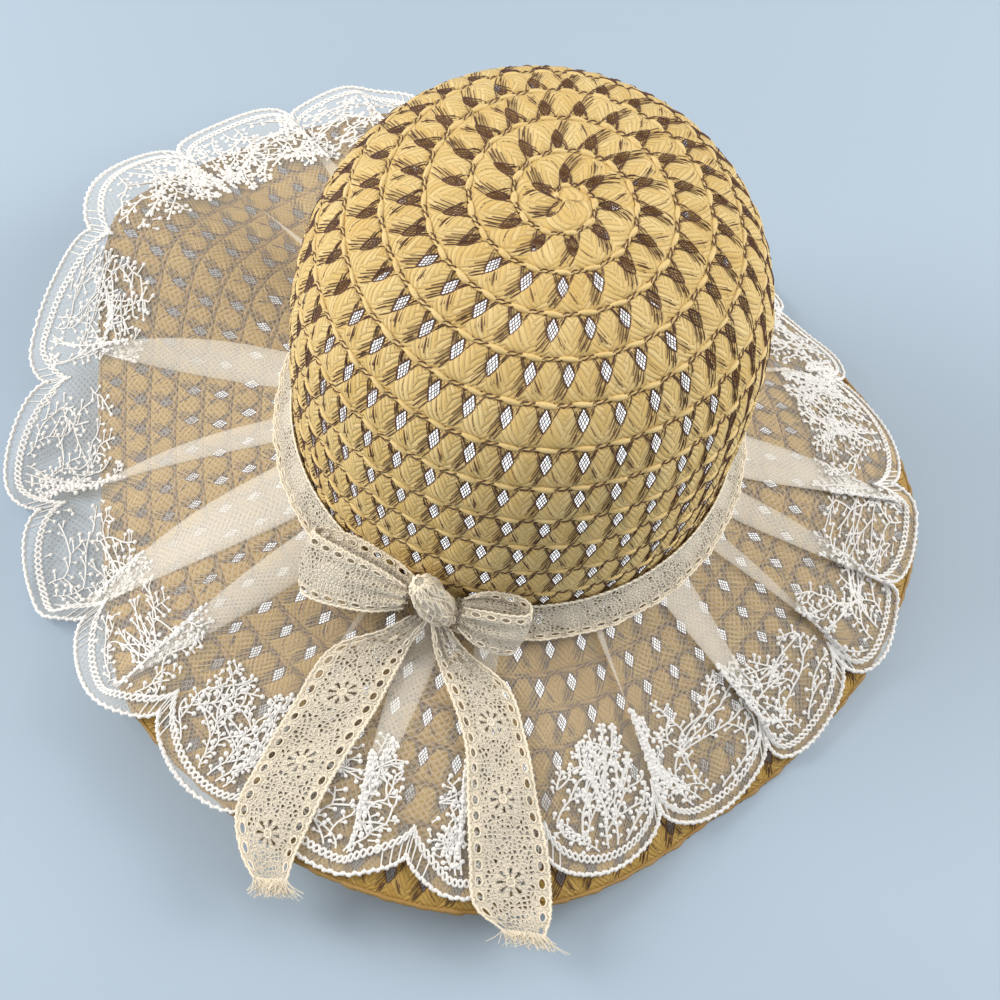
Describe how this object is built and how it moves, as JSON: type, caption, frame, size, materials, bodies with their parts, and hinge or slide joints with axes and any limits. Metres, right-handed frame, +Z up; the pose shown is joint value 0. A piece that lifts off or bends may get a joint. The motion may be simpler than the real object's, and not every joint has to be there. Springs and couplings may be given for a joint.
{
  "type": "straw beach hat",
  "caption": "Wide floppy-brimmed coiled straw-plait beach hat with an embroidered tulle ruffle over the brim and a crochet lace band tied in a bow; shades the head.",
  "frame": {"origin": "floor point under the middle of the hat's bounding box, with the rim resting on z = 0", "axes": "+Z up through the crown, -Y towards the bow side, +X to the right of someone facing the bow"},
  "size_m": [0.4188, 0.4212, 0.1885],
  "materials": {
    "straw": "plaited paper straw, satin, with brown yarn",
    "tulle": "sheer net with white embroidery",
    "lace": "cream cotton crochet lace"
  },
  "bodies": {
    "root": {"crown": "straw", "brim": "straw", "tulle_ruffle": "tulle", "lace_band": "lace", "bow_knot": "lace", "bow_loop_left": "lace", "bow_loop_right": "lace", "bow_tail_left": "lace", "bow_tail_right": "lace"}
  },
  "joints": []
}
